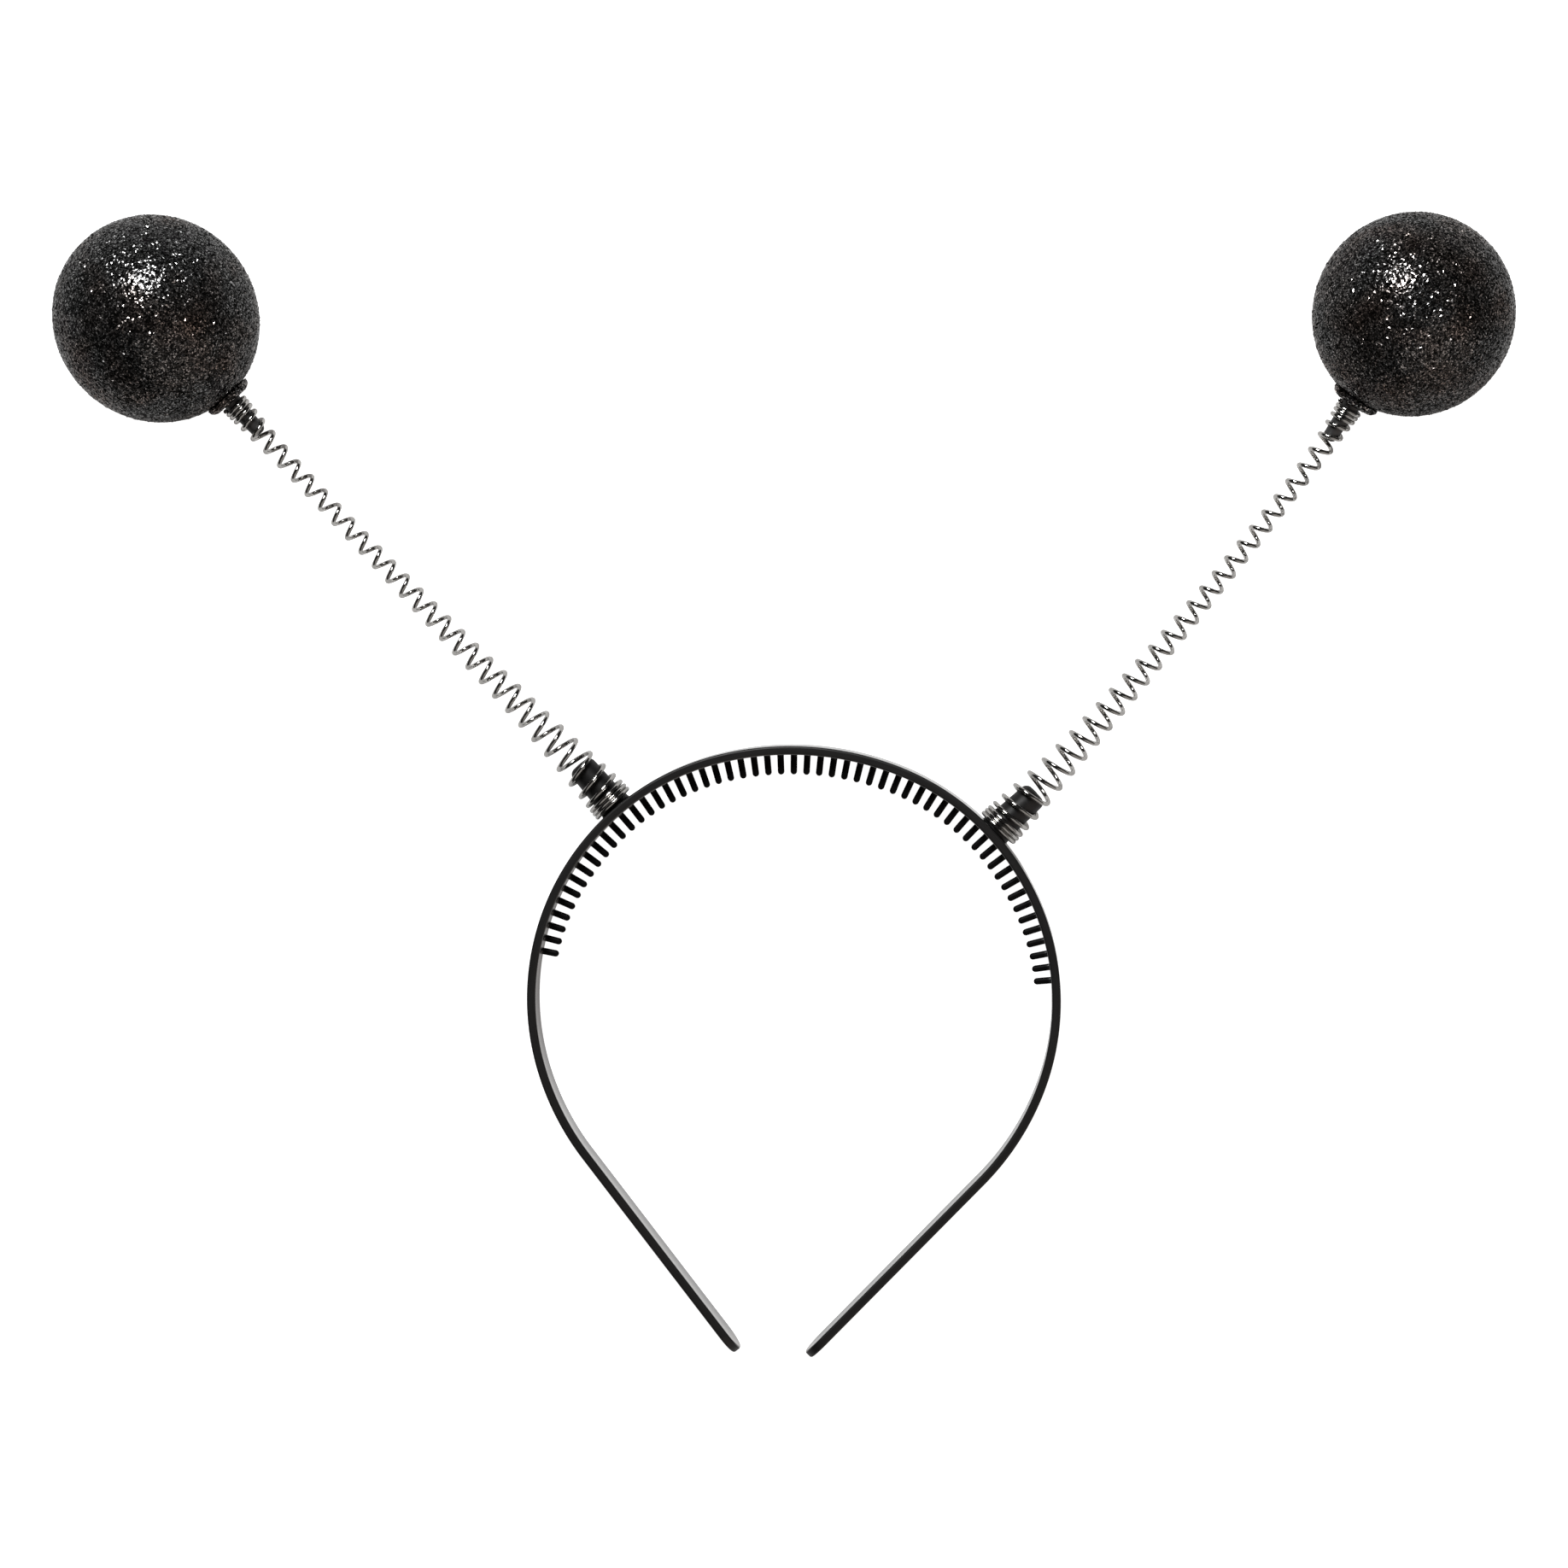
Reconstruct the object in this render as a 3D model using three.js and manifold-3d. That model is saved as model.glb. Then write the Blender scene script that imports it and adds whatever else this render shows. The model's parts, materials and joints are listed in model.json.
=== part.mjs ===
// Antenna headband: a springy plastic hairband with a row of comb teeth inside its
// crown, two pegs on its outer face, a long coil spring on each peg, and a glittered
// foam ball on the far end of each spring.
//
// It lies on its side, as on a table: +Z is up, the band's lower edge and both balls
// touch z = 0, +Y runs from the band's two tips to its crown, and the origin is the
// middle of the whole footprint. Millimetres and degrees throughout.
import * as THREE from 'three';
import { mergeVertices } from 'three/addons/utils/BufferGeometryUtils.js';
import Module from 'manifold-3d';

const wasm = await Module();
wasm.setup();

// ---------------------------------------------------------------- dimensions
const GAP = 0.3; // clearance between pieces that touch

const CROWN_X = 11.3; // outer face of the crown, from the middle of the footprint
const CROWN_Y = 5.85;

const BAND_WIDTH = 11; // lower edge to upper edge
const BAND_THICK = 2;
const BAND_EDGE = 0.45; // chamfer along the long edges
const LEG_LENGTH = 56; // straight run from the last arc to the tip
const TIP_ROUND = 5; // rounding of the tips, seen from the side of the leg
const ARC_STEP = 3.4; // largest turn of one facet along the band

// Outer face of half the band: tangent arcs from the crown down to the straight leg.
const BAND_ARCS = [
  { radius: 67.7, endTurn: 17.4 },
  { radius: 56.8, endTurn: 107.7 },
  { radius: 60.8, endTurn: 130.9 },
];

const TOOTH_COUNT = 55;
const TOOTH_LAST_TURN = 82; // where the outermost teeth stand
const TOOTH_WIDE = 1.3; // along the band
const TOOTH_DEEP = 1.8; // across the band
const TOOTH_ROOT = 1.0; // how far a tooth's root runs into the band
const TOOTH_NOSE_STEPS = 4;
const TOOTH_LENGTHS = [
  { turn: 0, length: 4.45 },
  { turn: 55, length: 4.45 },
  { turn: TOOTH_LAST_TURN, length: 3.75 },
];

const PEG_TURN = 44.1; // where the pegs stand on the band
const PEG_ROOT = 1.2; // how far a peg's root runs into the band
// Profile of a peg, from the band's outer face: a foot that fills the spring's close
// end, then a slimmer shank with a rounded nose.
const PEG_PROFILE = [
  { along: -PEG_ROOT, diameter: 7.5 },
  { along: 2.9, diameter: 7.4 },
  { along: 3.7, diameter: 6.6 },
  { along: 11.0, diameter: 6.0 },
  { along: 12.0, diameter: 5.2 },
  { along: 12.5, diameter: 3.8 },
];

const BALL_D = 45;
const WIRE_D = 0.85;
const WIRE_SIDES = 5;
const STEPS_PER_TURN = 12;

// One row for each antenna, from the crown's outer face: the ball's centre, the way
// its plug points (angle from the band's centre line, and its climb), and how strongly
// the spring keeps the direction of the band's peg and of the plug.
const ANTENNAE = [
  { name: 'left', side: -1, ballX: -150.2, ballY: 86.6, arriveAngle: 45.1, climb: 9, holdBand: 16, holdBall: 50 },
  { name: 'right', side: 1, ballX: 127.6, ballY: 103.8, arriveAngle: 30.4, climb: 9, holdBand: 26, holdBall: 20 },
];

// Coil pitch: where each turn lies, counted from the end on the band and from the end
// on the ball's plug. The turns between are evenly spread.
const BAND_END_TURNS = [
  { turn: 0, along: 0.9 },
  { turn: 1, along: 1.9 },
  { turn: 2, along: 2.9 },
  { turn: 3, along: 4.4 },
  { turn: 4, along: 7.0 },
  { turn: 5, along: 10.6 },
  { turn: 6, along: 14.9 },
];
const BALL_END_TURNS = [
  { turn: 0, along: 0.8 },
  { turn: 1, along: 1.8 },
  { turn: 2, along: 2.8 },
  { turn: 3, along: 4.1 },
  { turn: 4, along: 6.3 },
  { turn: 5, along: 9.4 },
  { turn: 6, along: 13.4 },
];
const MIDDLE_TURNS = 22;

// Outer diameter of the coil along the spring, as a share of its length.
const COIL_OUTER = [
  { share: 0.0, diameter: 10.2 },
  { share: 0.03, diameter: 10.05 },
  { share: 0.08, diameter: 9.3 },
  { share: 0.14, diameter: 8.1 },
  { share: 0.2, diameter: 7.3 },
  { share: 0.29, diameter: 6.5 },
  { share: 0.44, diameter: 5.5 },
  { share: 0.6, diameter: 4.8 },
  { share: 0.78, diameter: 4.5 },
  { share: 0.84, diameter: 4.55 },
  { share: 0.895, diameter: 4.95 },
  { share: 0.925, diameter: 5.3 },
  { share: 0.96, diameter: 5.65 },
  { share: 1.0, diameter: 6.1 },
];

// Plug in the ball: a stem inside it, a flange on its surface and a tapering peg that
// the spring's small end sits on.
const STEM_D = 4;
const STEM_DEEP = 10; // below the ball's surface
const FLANGE_D = 11.8;
const FLANGE_RISE = 1.95; // top of the flange above the ball's surface
const FLANGE_ROUND = 0.9;
const PLUG_PEG = [
  { along: 0, diameter: 3.7 },
  { along: 4.5, diameter: 3.3 },
  { along: 8.4, diameter: 2.8 },
  { along: 9.3, diameter: 2.2 },
  { along: 9.6, diameter: 1.6 },
];

// ---------------------------------------------------------------- small helpers
const rad = THREE.MathUtils.degToRad;
const UP = new THREE.Vector3(0, 0, 1);

// Value of a column at x in a short table, straight between its rows.
function lookup(table, xKey, yKey, x) {
  let i = 1;
  while (i < table.length - 1 && x > table[i][xKey]) i += 1;
  const a = table[i - 1];
  const b = table[i];
  const t = THREE.MathUtils.clamp((x - a[xKey]) / (b[xKey] - a[xKey]), 0, 1);
  return a[yKey] + (b[yKey] - a[yKey]) * t;
}

// The same, as a smooth curve through the rows.
function smoothLookup(table, xKey, yKey, x) {
  let i = 1;
  while (i < table.length - 1 && x > table[i][xKey]) i += 1;
  const slope = (k) => {
    const p = table[Math.max(k - 1, 0)];
    const q = table[Math.min(k + 1, table.length - 1)];
    return (q[yKey] - p[yKey]) / (q[xKey] - p[xKey]);
  };
  const a = table[i - 1];
  const b = table[i];
  const h = b[xKey] - a[xKey];
  const t = THREE.MathUtils.clamp((x - a[xKey]) / h, 0, 1);
  const t2 = t * t;
  const t3 = t2 * t;
  return (
    (2 * t3 - 3 * t2 + 1) * a[yKey] +
    (t3 - 2 * t2 + t) * h * slope(i - 1) +
    (3 * t2 - 2 * t3) * b[yKey] +
    (t3 - t2) * h * slope(i)
  );
}

function toSolid(geometry) {
  const bare = geometry.clone();
  bare.deleteAttribute('normal');
  bare.deleteAttribute('uv');
  const merged = mergeVertices(bare, 1e-4);
  return new wasm.Manifold(
    new wasm.Mesh({
      numProp: 3,
      vertProperties: Float32Array.from(merged.attributes.position.array),
      triVerts: Uint32Array.from(merged.index.array),
    }),
  );
}

function toGeometry(solid) {
  const mesh = solid.getMesh();
  const geometry = new THREE.BufferGeometry();
  const xyz = new Float32Array((mesh.vertProperties.length / mesh.numProp) * 3);
  for (let i = 0; i < xyz.length / 3; i += 1) {
    for (let k = 0; k < 3; k += 1) xyz[3 * i + k] = mesh.vertProperties[mesh.numProp * i + k];
  }
  geometry.setAttribute('position', new THREE.BufferAttribute(xyz, 3));
  geometry.setIndex(new THREE.BufferAttribute(Uint32Array.from(mesh.triVerts), 1));
  geometry.computeVertexNormals();
  return geometry;
}

// A turned solid about an axis from a base point, its profile given in (along, radius).
function turned(profile, segments, base, direction) {
  const points = profile.map((p) => new THREE.Vector2(p.radius, p.along));
  const geometry = new THREE.LatheGeometry(points, segments);
  const spin = new THREE.Quaternion().setFromUnitVectors(new THREE.Vector3(0, 1, 0), direction);
  geometry.applyMatrix4(new THREE.Matrix4().makeRotationFromQuaternion(spin));
  geometry.translate(base.x, base.y, base.z);
  return geometry;
}

// ---------------------------------------------------------------- band
// A point of the band's outer face on the +X half: where a given turn from the crown
// is reached, moved inward by `depth`. `outward` is the face's normal there.
function bandAtTurn(turn, depth = 0) {
  let centre = new THREE.Vector2(0, -BAND_ARCS[0].radius);
  let i = 0;
  while (i < BAND_ARCS.length - 1 && turn > BAND_ARCS[i].endTurn) {
    const a = rad(BAND_ARCS[i].endTurn);
    const step = BAND_ARCS[i].radius - BAND_ARCS[i + 1].radius;
    centre = new THREE.Vector2(centre.x + step * Math.sin(a), centre.y + step * Math.cos(a));
    i += 1;
  }
  const outward = new THREE.Vector2(Math.sin(rad(turn)), Math.cos(rad(turn)));
  const reach = BAND_ARCS[i].radius - depth;
  return { point: new THREE.Vector2(centre.x + reach * outward.x, centre.y + reach * outward.y), outward };
}

const LAST_TURN = BAND_ARCS[BAND_ARCS.length - 1].endTurn;

// The half outline at a given depth, from the crown to the leg's tip.
function halfOutline(depth) {
  const points = [];
  let start = 0;
  for (const arc of BAND_ARCS) {
    const steps = Math.ceil((arc.endTurn - start) / ARC_STEP);
    for (let k = 0; k < steps; k += 1) {
      points.push(bandAtTurn(start + ((arc.endTurn - start) * k) / steps, depth).point);
    }
    start = arc.endTurn;
  }
  const heading = new THREE.Vector2(Math.cos(rad(LAST_TURN)), -Math.sin(rad(LAST_TURN)));
  const legTop = bandAtTurn(LAST_TURN, depth).point;
  points.push(legTop, legTop.clone().addScaledVector(heading, LEG_LENGTH));
  return points;
}

// Length along the band's outer face from the crown to a given turn, and back.
function lengthAtTurn(turn) {
  let length = 0;
  let start = 0;
  for (const arc of BAND_ARCS) {
    const end = Math.min(turn, arc.endTurn);
    if (end > start) length += arc.radius * rad(end - start);
    start = arc.endTurn;
  }
  return length;
}

function turnAtLength(length) {
  let start = 0;
  let left = length;
  for (const arc of BAND_ARCS) {
    const span = arc.radius * rad(arc.endTurn - start);
    if (left <= span) return start + THREE.MathUtils.radToDeg(left / arc.radius);
    left -= span;
    start = arc.endTurn;
  }
  return LAST_TURN;
}

function makeBand() {
  const mirror = (p) => new THREE.Vector2(-p.x, p.y);
  const outer = halfOutline(0);
  const inner = halfOutline(BAND_THICK);
  const outline = [
    ...outer.slice(1).reverse().map(mirror),
    ...outer,
    ...inner.slice().reverse(),
    ...inner.slice(1).map(mirror),
  ];
  const strip = new THREE.ExtrudeGeometry(new THREE.Shape(outline), {
    depth: BAND_WIDTH - 2 * BAND_EDGE,
    bevelEnabled: true,
    bevelThickness: BAND_EDGE,
    bevelSize: BAND_EDGE,
    bevelOffset: -BAND_EDGE,
    bevelSegments: 1,
  });
  strip.translate(0, 0, BAND_EDGE);
  return toSolid(strip);
}

// What is cut away to round one corner of a tip: the square corner outside a quarter circle.
function makeTipCut(side, upper) {
  const over = 1;
  const shape = new THREE.Shape();
  shape.moveTo(-TIP_ROUND, TIP_ROUND + over);
  shape.lineTo(-TIP_ROUND, TIP_ROUND);
  shape.absarc(-TIP_ROUND, 0, TIP_ROUND, Math.PI / 2, 0, true);
  shape.lineTo(over, 0);
  shape.lineTo(over, TIP_ROUND + over);
  const geometry = new THREE.ExtrudeGeometry(shape, {
    depth: BAND_THICK + 2 * over,
    bevelEnabled: false,
    curveSegments: 8,
  });
  geometry.translate(0, 0, -(BAND_THICK / 2 + over));
  const heading = new THREE.Vector3(side * Math.cos(rad(LAST_TURN)), -Math.sin(rad(LAST_TURN)), 0);
  const rise = new THREE.Vector3(0, 0, upper ? 1 : -1);
  const across = new THREE.Vector3().crossVectors(heading, rise);
  const outerTip = halfOutline(0).at(-1);
  const innerTip = halfOutline(BAND_THICK).at(-1);
  const height = BAND_WIDTH / 2 + rise.z * (BAND_WIDTH / 2 - TIP_ROUND);
  const place = new THREE.Matrix4().makeBasis(heading, rise, across);
  place.setPosition((side * (outerTip.x + innerTip.x)) / 2, (outerTip.y + innerTip.y) / 2, height);
  geometry.applyMatrix4(place);
  return toSolid(geometry);
}

// A comb tooth: a blade with a round nose, standing inward at mid-width.
function makeTooth(offset) {
  const turn = turnAtLength(Math.abs(offset));
  const side = offset < 0 ? -1 : 1;
  const length = lookup(TOOTH_LENGTHS, 'turn', 'length', turn);
  const half = TOOTH_WIDE / 2;
  const shape = new THREE.Shape();
  shape.moveTo(-half, -TOOTH_ROOT);
  shape.lineTo(half, -TOOTH_ROOT);
  shape.lineTo(half, length - half);
  shape.absarc(0, length - half, half, 0, Math.PI, false);
  shape.lineTo(-half, -TOOTH_ROOT);
  const geometry = new THREE.ExtrudeGeometry(shape, {
    depth: TOOTH_DEEP,
    bevelEnabled: false,
    curveSegments: TOOTH_NOSE_STEPS,
  });
  geometry.translate(0, 0, -TOOTH_DEEP / 2);
  const { point, outward } = bandAtTurn(turn, BAND_THICK);
  const inward = new THREE.Vector3(-side * outward.x, -outward.y, 0);
  const across = new THREE.Vector3().crossVectors(inward, UP);
  const place = new THREE.Matrix4().makeBasis(across, inward, UP);
  place.setPosition(side * point.x, point.y, BAND_WIDTH / 2);
  geometry.applyMatrix4(place);
  return toSolid(geometry);
}

// Where a peg stands: its foot on the band's outer face, and its direction.
function pegSeat(side) {
  const { point, outward } = bandAtTurn(PEG_TURN);
  return {
    foot: new THREE.Vector3(side * point.x, point.y, BAND_WIDTH / 2),
    direction: new THREE.Vector3(side * outward.x, outward.y, 0),
  };
}

function makePeg(side) {
  const { foot, direction } = pegSeat(side);
  const rows = PEG_PROFILE.map((p) => ({ along: p.along, radius: p.diameter / 2 }));
  const profile = [
    { along: rows[0].along, radius: 0 },
    ...rows,
    { along: rows[rows.length - 1].along + 0.2, radius: 0 },
  ];
  return toSolid(turned(profile, 20, foot, direction));
}

function makeHeadband() {
  let body = makeBand();
  for (const side of [-1, 1]) {
    for (const upper of [false, true]) body = body.subtract(makeTipCut(side, upper));
  }
  const reach = lengthAtTurn(TOOTH_LAST_TURN);
  for (let k = 0; k < TOOTH_COUNT; k += 1) {
    body = body.add(makeTooth(reach * ((2 * k) / (TOOTH_COUNT - 1) - 1)));
  }
  for (const side of [-1, 1]) body = body.add(makePeg(side));
  return toGeometry(body);
}

// ---------------------------------------------------------------- antennae
// Centre line of an antenna, from the foot of its peg to the centre of its ball: a
// gentle bow as far as the plug's tip, then straight along the plug.
function antennaAxis(antenna) {
  const { foot, direction } = pegSeat(antenna.side);
  const ball = new THREE.Vector3(antenna.ballX, antenna.ballY, BALL_D / 2);
  const flat = Math.cos(rad(antenna.climb));
  const arrive = new THREE.Vector3(
    antenna.side * Math.sin(rad(antenna.arriveAngle)) * flat,
    Math.cos(rad(antenna.arriveAngle)) * flat,
    Math.sin(rad(antenna.climb)),
  );
  const plugTip = ball.clone().addScaledVector(arrive, -(BALL_D / 2 + FLANGE_RISE + PLUG_PEG.at(-1).along));
  const bow = new THREE.CubicBezierCurve3(
    foot,
    foot.clone().addScaledVector(direction, antenna.holdBand),
    plugTip.clone().addScaledVector(arrive, -antenna.holdBall),
    plugTip,
  );
  bow.arcLengthDivisions = 400;
  const axis = new THREE.CurvePath();
  axis.add(bow);
  axis.add(new THREE.LineCurve3(plugTip, ball));
  return { axis, ball, arrive, length: axis.getLength() };
}

// Right-handed coil wound on an antenna's centre line, evenly stepped turn by turn.
class CoilCurve extends THREE.Curve {
  constructor(antenna) {
    super();
    Object.assign(this, antennaAxis(antenna));
    this.seat = this.length - BALL_D / 2 - FLANGE_RISE; // the flange's top
    this.bandTurns = BAND_END_TURNS[BAND_END_TURNS.length - 1];
    this.ballTurns = BALL_END_TURNS[BALL_END_TURNS.length - 1];
    this.turns = this.bandTurns.turn + MIDDLE_TURNS + this.ballTurns.turn;
  }

  along(turn) {
    const back = this.turns - turn;
    if (turn <= this.bandTurns.turn) return smoothLookup(BAND_END_TURNS, 'turn', 'along', turn);
    if (back <= this.ballTurns.turn) return this.seat - smoothLookup(BALL_END_TURNS, 'turn', 'along', back);
    const share = (turn - this.bandTurns.turn) / MIDDLE_TURNS;
    return THREE.MathUtils.lerp(this.bandTurns.along, this.seat - this.ballTurns.along, share);
  }

  getPoint(t, target = new THREE.Vector3()) {
    const turn = t * this.turns;
    const along = this.along(turn);
    const radius = (lookup(COIL_OUTER, 'share', 'diameter', along / this.seat) - WIRE_D) / 2;
    const u = along / this.length;
    const tangent = this.axis.getTangentAt(u);
    const sideways = new THREE.Vector3().crossVectors(UP, tangent).normalize();
    const over = new THREE.Vector3().crossVectors(tangent, sideways);
    const angle = 2 * Math.PI * turn;
    return target
      .copy(this.axis.getPointAt(u))
      .addScaledVector(sideways, radius * Math.cos(angle))
      .addScaledVector(over, radius * Math.sin(angle));
  }

  getUtoTmapping(u) {
    return u;
  }
}

function makeSpring(antenna) {
  const coil = new CoilCurve(antenna);
  const section = new THREE.Shape();
  for (let k = 0; k < WIRE_SIDES; k += 1) {
    const a = (2 * Math.PI * k) / WIRE_SIDES;
    const r = (WIRE_D / 2) * 1.1; // a many-sided wire of the round wire's area
    if (k === 0) section.moveTo(r * Math.cos(a), r * Math.sin(a));
    else section.lineTo(r * Math.cos(a), r * Math.sin(a));
  }
  return new THREE.ExtrudeGeometry(section, {
    steps: Math.round(coil.turns * STEPS_PER_TURN),
    extrudePath: coil,
    bevelEnabled: false,
  });
}

// Distances along the plug are from the ball's centre towards the band.
function makePlug(antenna) {
  const { ball, arrive } = antennaAxis(antenna);
  const ballR = BALL_D / 2;
  const top = ballR + FLANGE_RISE;
  const rim = FLANGE_D / 2;
  const dish = ballR + GAP; // the flange's underside keeps clear of the ball
  const profile = [
    { along: ballR - STEM_DEEP, radius: 0 },
    { along: ballR - STEM_DEEP, radius: STEM_D / 2 },
  ];
  for (const radius of [STEM_D / 2, rim * 0.6, rim - 0.25]) {
    profile.push({ along: Math.sqrt(dish * dish - radius * radius), radius });
  }
  profile.push({ along: profile[profile.length - 1].along + 0.35, radius: rim });
  for (const a of [0, 30, 60, 90]) {
    profile.push({
      along: top - FLANGE_ROUND + FLANGE_ROUND * Math.sin(rad(a)),
      radius: rim - FLANGE_ROUND + FLANGE_ROUND * Math.cos(rad(a)),
    });
  }
  for (const p of PLUG_PEG) profile.push({ along: top + p.along, radius: p.diameter / 2 });
  profile.push({ along: profile[profile.length - 1].along + 0.1, radius: 0 });
  return turned(profile, 20, ball, arrive.clone().negate());
}

function makeBall(antenna) {
  const { ball, arrive } = antennaAxis(antenna);
  const sphere = new THREE.SphereGeometry(BALL_D / 2, 28, 18);
  sphere.rotateX(Math.PI / 2);
  sphere.translate(ball.x, ball.y, ball.z);
  const socket = turned(
    [
      { along: BALL_D / 2 - STEM_DEEP - GAP, radius: 0 },
      { along: BALL_D / 2 - STEM_DEEP - GAP, radius: STEM_D / 2 + GAP },
      { along: BALL_D / 2 + 2, radius: STEM_D / 2 + GAP },
      { along: BALL_D / 2 + 2, radius: 0 },
    ],
    20,
    ball,
    arrive.clone().negate(),
  );
  return toGeometry(toSolid(sphere).subtract(toSolid(socket)));
}

// ---------------------------------------------------------------- the assembly
const blackPlastic = () => new THREE.MeshStandardMaterial({ color: 0x141414, roughness: 0.35, metalness: 0 });
const springSteel = () => new THREE.MeshStandardMaterial({ color: 0xc9c6bf, roughness: 0.18, metalness: 1 });
const blackGlitter = () => new THREE.MeshStandardMaterial({ color: 0x191919, roughness: 0.45, metalness: 0.4 });

const headpiece = new THREE.Group();
headpiece.position.set(CROWN_X, CROWN_Y, 0);

function addPiece(name, geometry, material) {
  const mesh = new THREE.Mesh(geometry, material);
  mesh.name = name;
  headpiece.add(mesh);
}

addPiece('headband', makeHeadband(), blackPlastic());
for (const antenna of ANTENNAE) {
  addPiece(`spring_${antenna.name}`, makeSpring(antenna), springSteel());
  addPiece(`ball_plug_${antenna.name}`, makePlug(antenna), blackPlastic());
  addPiece(`ball_${antenna.name}`, makeBall(antenna), blackGlitter());
}

const part = new THREE.Group();
part.add(headpiece);

export default part;
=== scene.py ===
"""Looks of the antenna headband: a moulded black hairband with comb teeth, two bright coil
springs, and two balls covered in black glitter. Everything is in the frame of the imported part."""

import json
import math

import bmesh
import bpy
import numpy as np
from mathutils import Matrix, Vector

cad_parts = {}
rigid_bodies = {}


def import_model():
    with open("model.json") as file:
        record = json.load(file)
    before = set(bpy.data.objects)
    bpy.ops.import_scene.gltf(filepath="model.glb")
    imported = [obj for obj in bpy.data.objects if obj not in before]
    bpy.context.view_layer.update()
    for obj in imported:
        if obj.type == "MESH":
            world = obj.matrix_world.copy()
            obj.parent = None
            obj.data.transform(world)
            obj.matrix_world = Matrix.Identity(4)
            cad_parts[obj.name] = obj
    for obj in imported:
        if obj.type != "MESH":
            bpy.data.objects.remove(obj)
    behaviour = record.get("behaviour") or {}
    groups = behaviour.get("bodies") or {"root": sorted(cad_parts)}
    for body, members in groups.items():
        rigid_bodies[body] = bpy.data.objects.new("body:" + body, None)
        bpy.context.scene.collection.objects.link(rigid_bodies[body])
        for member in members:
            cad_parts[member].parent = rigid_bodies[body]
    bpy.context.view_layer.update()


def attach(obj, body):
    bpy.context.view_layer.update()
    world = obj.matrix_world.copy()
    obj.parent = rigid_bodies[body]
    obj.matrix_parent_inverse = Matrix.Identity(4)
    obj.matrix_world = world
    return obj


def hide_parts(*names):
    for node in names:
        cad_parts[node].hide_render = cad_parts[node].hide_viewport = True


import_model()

MM = 0.001
UP = np.array([0.0, 0.0, 1.0])

# ------------------------------------------------------------------ sizes, in mm and degrees
CROWN = np.array([11.3, 5.85, 0.0])  # the crown's outer face at floor level

BAND_WIDTH, BAND_THICK, BAND_EDGE = 11.0, 2.0, 0.5
BAND_HOLLOW = 0.17  # the inner face is this much hollow at mid-width
LEG_LENGTH, TIP_ROUND = 56.0, 5.0
BAND_ARCS = [(67.7, 17.4), (56.8, 107.7), (60.8, 130.9)]  # radius, turn where it ends

TOOTH_COUNT, TOOTH_LAST_TURN, TOOTH_SHIFT = 55, 82.0, -0.35  # the row sits a little off the crown's middle
TOOTH_WIDE, TOOTH_DEEP, TOOTH_FILLET = 1.5, 1.8, 0.28
TOOTH_TURNS, TOOTH_LENGTHS = [0.0, 55.0, 82.0], [4.6, 4.6, 3.9]

PEG_TURN = 44.1
PEG_FILLET = 0.45
PEG_ROWS = [(1.2, 7.5), (2.5, 7.5), (3.0, 7.4), (3.4, 7.1), (3.8, 6.85), (4.4, 6.75), (7.5, 6.6), (10.6, 6.4)]
PEG_NOSE, PEG_NOSE_ROUND = 12.65, 1.7

BALL_R = 22.5
WIRE_D, WIRE_SEAT = 1.0, 0.85  # drawn thickness, and the thickness that the coil's width is counted with
# rise is the flange's outer face above a true ball; swell is how far the hand-coated ball is out of
# true towards the plug, away from it and at the sides.
ANTENNAE = {
    "left": dict(side=-1, ball=(-150.2, 86.6), angle=45.1, climb=9.0, hold_band=16.0, hold_ball=50.0, rise=2.35, swell=(1.1, 0.7, 0.0)),
    "right": dict(side=1, ball=(127.6, 103.8), angle=30.4, climb=9.0, hold_band=26.0, hold_ball=20.0, rise=1.5, swell=(0.25, -0.1, -0.4)),
}
BAND_END_TURNS = [0.9, 1.9, 2.9, 4.4, 7.0, 10.6, 14.9]
BALL_END_TURNS = [0.8, 1.8, 2.8, 4.1, 6.3, 9.4, 13.4]
MIDDLE_TURNS = 22
COIL_SHARE = [0.0, 0.03, 0.08, 0.14, 0.2, 0.29, 0.44, 0.6, 0.78, 0.84, 0.895, 0.925, 0.96, 1.0]
COIL_OUTER = [10.2, 10.05, 9.3, 8.1, 7.3, 6.5, 5.5, 4.8, 4.5, 4.55, 4.95, 5.3, 5.65, 6.1]

STEM_D, STEM_DEEP, SOCKET_GAP = 4.0, 10.0, 0.3
FLANGE_D, FLANGE_RISE, FLANGE_ROUND, FLANGE_GAP = 11.1, 1.95, 1.9, 0.15
PLUG_LENGTH = 9.6
PLUG_ROWS = [(0.35, 4.1), (2.5, 3.95), (4.5, 3.7), (6.5, 3.5), (8.0, 3.3)]


# ------------------------------------------------------------------ mesh helpers
class Shape:
    """Vertices in mm and faces by vertex index, gathered piece by piece."""

    def __init__(self):
        self.points, self.faces, self.flat = [], [], []

    def add(self, point):
        self.points.append(np.asarray(point, float))
        return len(self.points) - 1

    def ring(self, points):
        return [self.add(p) for p in points]

    def face(self, *corners, flat=False):
        self.faces.append(corners)
        self.flat.append(flat)

    def bridge(self, a, b, flat=False):
        n = len(a)
        for i in range(n):
            k = (i + 1) % n
            self.face(a[i], a[k], b[k], b[i], flat=flat)

    def fan(self, ring, centre):
        n = len(ring)
        for i in range(n):
            self.face(ring[i], ring[(i + 1) % n], centre)


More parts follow.
